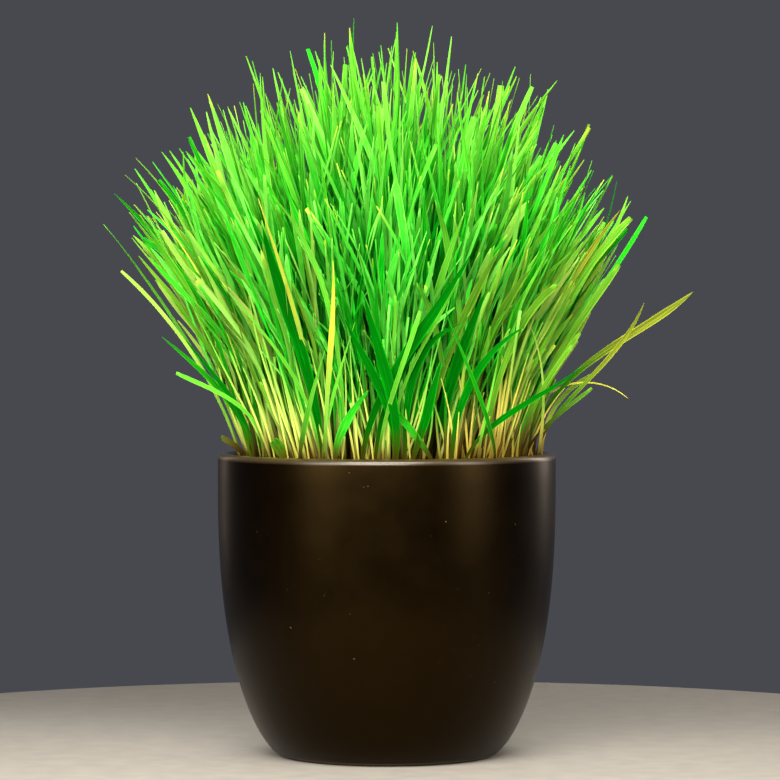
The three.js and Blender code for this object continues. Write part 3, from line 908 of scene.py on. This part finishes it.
def leaf_batches(seedlings):
    """Each seedling's long main leaf and lower first leaf, thin third ones, and leaves that cross."""
    everyone = np.arange(len(seedlings.base))
    count = len(everyone)
    main = leaf_batch(
        seedlings, everyone, rng.uniform(0.8, 1, count), rng.normal(0, 0.22, (count, 2)),
        rng.triangular(0.66, 0.88, 1.03, count), rng.triangular(1.1, 1.7, 3.4, count) * MM,
        rng.uniform(0, 0.10, count))
    first = leaf_batch(
        seedlings, everyone, rng.uniform(0.45, 0.95, count), sideways(count, 0.1, 0.55),
        rng.uniform(0.55, 0.95, count), rng.triangular(1.2, 1.8, 3.6, count) * MM,
        rng.uniform(0, 0.3, count), longest=rng.uniform(60, 120, count) * MM)
    some = everyone[rng.uniform(0, 1, count) < 0.65]
    third = leaf_batch(
        seedlings, some, rng.uniform(0.6, 1, len(some)), sideways(len(some), 0.05, 0.5),
        rng.triangular(0.5, 0.88, 1.03, len(some)), rng.uniform(0.7, 1.5, len(some)) * MM,
        rng.uniform(0, 0.15, len(some)))
    few = everyone[rng.uniform(0, 1, count) < 0.16]
    crossing = leaf_batch(
        seedlings, few, rng.uniform(0.1, 0.9, len(few)), sideways(len(few), 0.5, 1.1),
        rng.uniform(0.5, 0.9, len(few)), rng.uniform(1.2, 3.0, len(few)) * MM,
        rng.uniform(0, 0.3, len(few)), longest=rng.uniform(30, 80, len(few)) * MM)
    return [main, first, third, crossing]


def landmark_path(pixels, depths):
    """Smooth path through the points of a landmark leaf, from its foot among the seeds."""
    climb = np.linspace(0, 1, len(pixels)) ** 0.75
    points = photo_points(pixels, (depths[0] + (depths[1] - depths[0]) * climb) * MM)
    points[0] = [*into_field(points[0, :2], FRONT_RADIUS), SEED_TOP - ROOT_DEPTH]
    walked = np.concatenate([[0], np.cumsum(np.linalg.norm(np.diff(points, axis=0), axis=1))])
    degree = min(3, len(pixels) - 1)
    curve = np.polyfit(walked / walked[-1], points, degree)
    return np.vander(np.linspace(0, 1, LANDMARK_STEPS), degree + 1) @ curve


def pale_stem(pixels):
    """A thin pale stem that stands at the front of the field, in the form of a landmark leaf."""
    x = photo_points(pixels[:1], np.zeros(1))[0, 0]
    front = -math.sqrt(max(FRONT_RADIUS ** 2 - x ** 2, 0)) / MM
    return pixels, (front, front - PALE_STEM_LEAN), PALE_STEM_WIDTH, "cream", 0.3


def landmark_batch(seedlings):
    """The landmark leaves and pale stems, each in the tuft of the seedling nearest to its foot."""
    leaves = [*LANDMARKS.values(), *[pale_stem(pixels) for pixels in PALE_STEMS]]
    count = len(leaves)
    points = np.array([landmark_path(pixels, depths) for pixels, depths, *_ in leaves])
    width, widest = (np.array([leaf[i] for leaf in leaves])[:, None] for i in (2, 4))
    tone, warmth, dryness, pale_height = np.array([LOOKS[leaf[3]] for leaf in leaves]).T
    cut = np.array([leaf[-1] == "cut" for leaf in leaves])[:, None]
    nearest = np.linalg.norm(points[:, None, 0, :2] - seedlings.base[None], axis=2).argmin(axis=1)

    share = np.linspace(0, 1, LANDMARK_STEPS)[None, :]
    swell = 0.4 + 0.6 * smooth(share / widest)
    point = np.clip((1 - share) / (1 - widest), 0, 1) ** 0.75
    point = np.where(cut, 1 - 0.3 * smooth((share - 0.9) / 0.1), point)
    half_width = 0.5 * width * MM * swell * point + 0.1 * MM
    facing = -math.pi / 2 + rng.uniform(-0.5, 0.5, (count, 1)) + rng.normal(0, 0.3, (count, 1)) * share
    greenness = (points[..., 2] - SEED_TOP) / (pale_height[:, None] * MM)
    return Strands(
        seedlings.tuft[nearest], points, facing, LEAF_SECTION, half_width, LEAF_THICKNESS + 0 * share,
        0.25 + 0 * share, {
            "tone": tone, "warmth": warmth, "gold": seedlings.gold[nearest], "along": share,
            "across": LEAF_SECTION[None, None, :, 0], "greenness": greenness,
            "dryness": dryness[:, None] * smooth((share - 0.3) / 0.4), "depth": [0]})


def make_grass():
    seedlings = Seedlings()
    batches = [stem_batch(seedlings), *leaf_batches(seedlings), landmark_batch(seedlings),
               bare_stem_batch(seedlings)]
    material = grass_material()
    for node in TUFT_NODES:
        make_tuft(node, batches, material)
    return seedlings.base


# ------------------------ camera, light and floor

def look_at(thing, target):
    thing.rotation_euler = (Vector(target) - thing.location).to_track_quat("-Z", "Y").to_euler()


def make_camera():
    camera = add_object("camera", bpy.data.cameras.new("camera"))
    camera.data.lens = LENS
    camera.data.sensor_width = SENSOR
    camera.data.clip_end = 60
    camera.location = (AIM.x, -CAMERA_DISTANCE, CAMERA_HEIGHT)
    look_at(camera, AIM)
    bpy.context.scene.camera = camera


def area_light(name, place, size, power, target=(0, 0, 0.15), colour=(1, 1, 1)):
    lamp = bpy.data.lights.new(name, "AREA")
    lamp.shape = "RECTANGLE"
    lamp.size, lamp.size_y = size
    lamp.energy = power
    lamp.color = colour
    light = add_object(name, lamp)
    light.location = place
    look_at(light, target)


def make_lights():
    area_light("key", (-0.05, -1.0, 1.5), (1.3, 0.18), 43)
    area_light("front", (-0.2, -1.45, 0.8), (1.2, 0.4), 54)
    area_light("left panel", (-1.05, -1.1, 0.7), (0.7, 1.2), 24)
    area_light("right panel", (1.15, -0.7, 0.6), (0.5, 1.1), 14)
    area_light("top", (0.0, 0.5, 1.4), (0.8, 0.6), 3)
    area_light("back", (0.1, 1.3, 2.2), (2.4, 1.2), 34)
    area_light("left edge", (-1.0, 1.3, 0.4), (0.2, 0.9), 0.8, colour=(1, 0.8, 0.6))
    area_light("right edge", (1.0, 0.9, 0.5), (0.2, 0.9), 4, colour=(1, 0.85, 0.7))
    world = bpy.data.worlds.new("studio")
    world.use_nodes = True
    background = world.node_tree.nodes["Background"]
    background.inputs["Color"].default_value = rgb(72, 73, 79)
    bpy.context.scene.world = world


def make_floor():
    profile = [(0, -FLOOR_THICKNESS), (FLOOR_RADIUS, -FLOOR_THICKNESS), (FLOOR_RADIUS, 0), (0, 0)]
    mesh = turned_mesh("floor", profile, FLOOR_SEGMENTS)
    n = Nodes("floor")
    grain = n.noise(n.position(), 90.0, detail=5.0)
    colour = n.ramp(grain, [(0.3, rgb(116, 109, 98)), (0.7, rgb(124, 117, 105))])
    mesh.materials.append(n.finish(n.add("ShaderNodeBsdfPrincipled", {
        "Base Color": colour, "Roughness": 0.8}).outputs[0]))
    floor = add_object("floor", mesh)
    floor.location.z = -FLOOR_DROP


make_camera()
make_lights()
make_floor()
make_pot()
make_soil()
bases = make_grass()
make_kernels(bases)
bpy.context.scene.view_settings.view_transform = "Standard"
